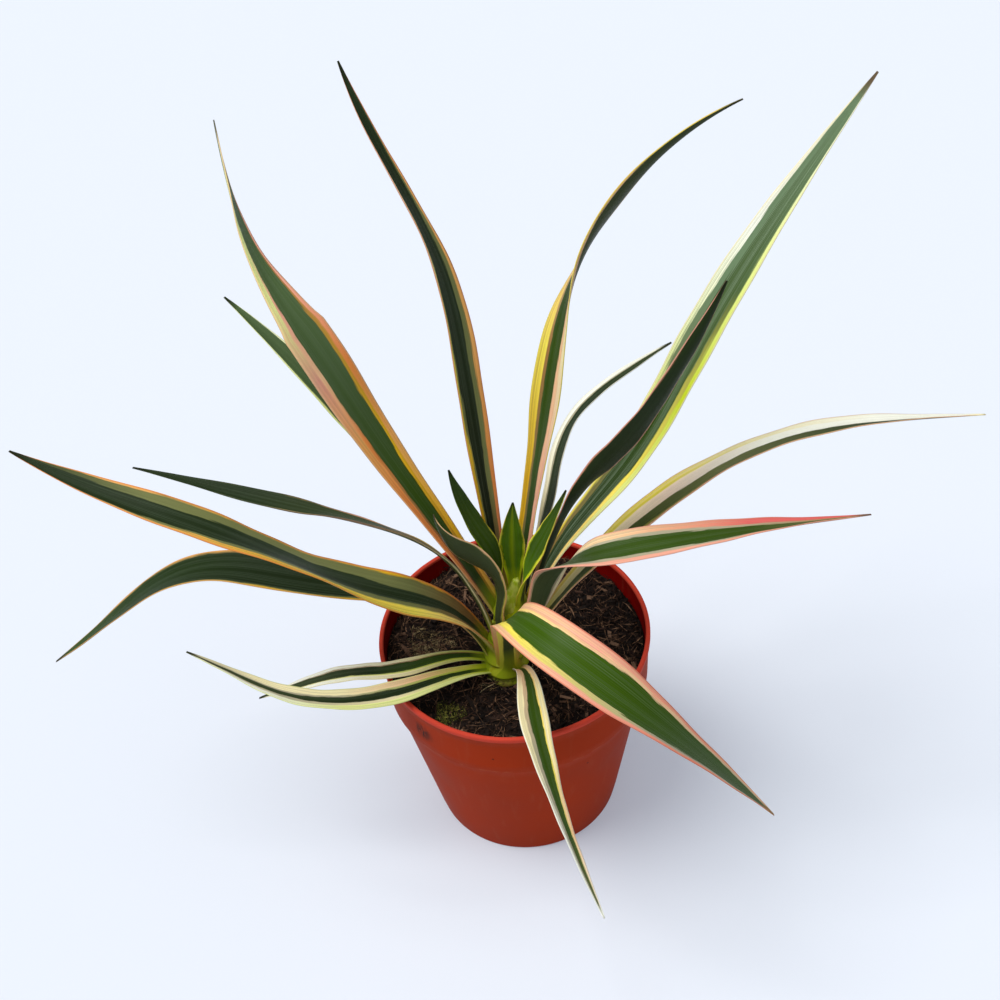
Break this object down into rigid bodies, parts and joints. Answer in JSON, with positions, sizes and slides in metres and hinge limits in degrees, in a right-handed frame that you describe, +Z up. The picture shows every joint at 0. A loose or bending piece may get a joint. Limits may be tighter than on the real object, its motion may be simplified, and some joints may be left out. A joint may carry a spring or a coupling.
{
  "type": "potted variegated yucca",
  "caption": "Young succulent rosette of long pointed leaves with coloured margins, growing from a short stem in a tapered round plastic nursery pot filled with peat soil.",
  "frame": {"origin": "middle of the pot's flat base, on the surface that the pot stands on", "axes": "+Z up along the pot's axis, -Y towards the plant's front, +X to the viewer's right"},
  "size_m": [0.4399, 0.2897, 0.3714],
  "materials": {
    "pot": "satin",
    "soil": "matte",
    "stem": "satin",
    "leaf": "satin"
  },
  "bodies": {
    "root": {"pot": "pot", "soil": "soil", "stem": "stem", "leaf_far_left": "leaf", "leaf_left_drooping": "leaf", "leaf_left_thin": "leaf", "leaf_upper_left": "leaf", "leaf_upper_left_behind": "leaf", "leaf_back_left": "leaf", "leaf_back_right": "leaf", "leaf_behind_right": "leaf", "leaf_upper_right": "leaf", "leaf_right_turned": "leaf", "leaf_right_long": "leaf", "leaf_right_folding": "leaf", "leaf_lower_right": "leaf", "leaf_front": "leaf", "leaf_low_left_back": "leaf", "leaf_low_left_front": "leaf", "heart_leaf_left": "leaf", "heart_leaf_middle": "leaf", "heart_leaf_right": "leaf", "heart_leaf_turned": "leaf"}
  },
  "joints": []
}
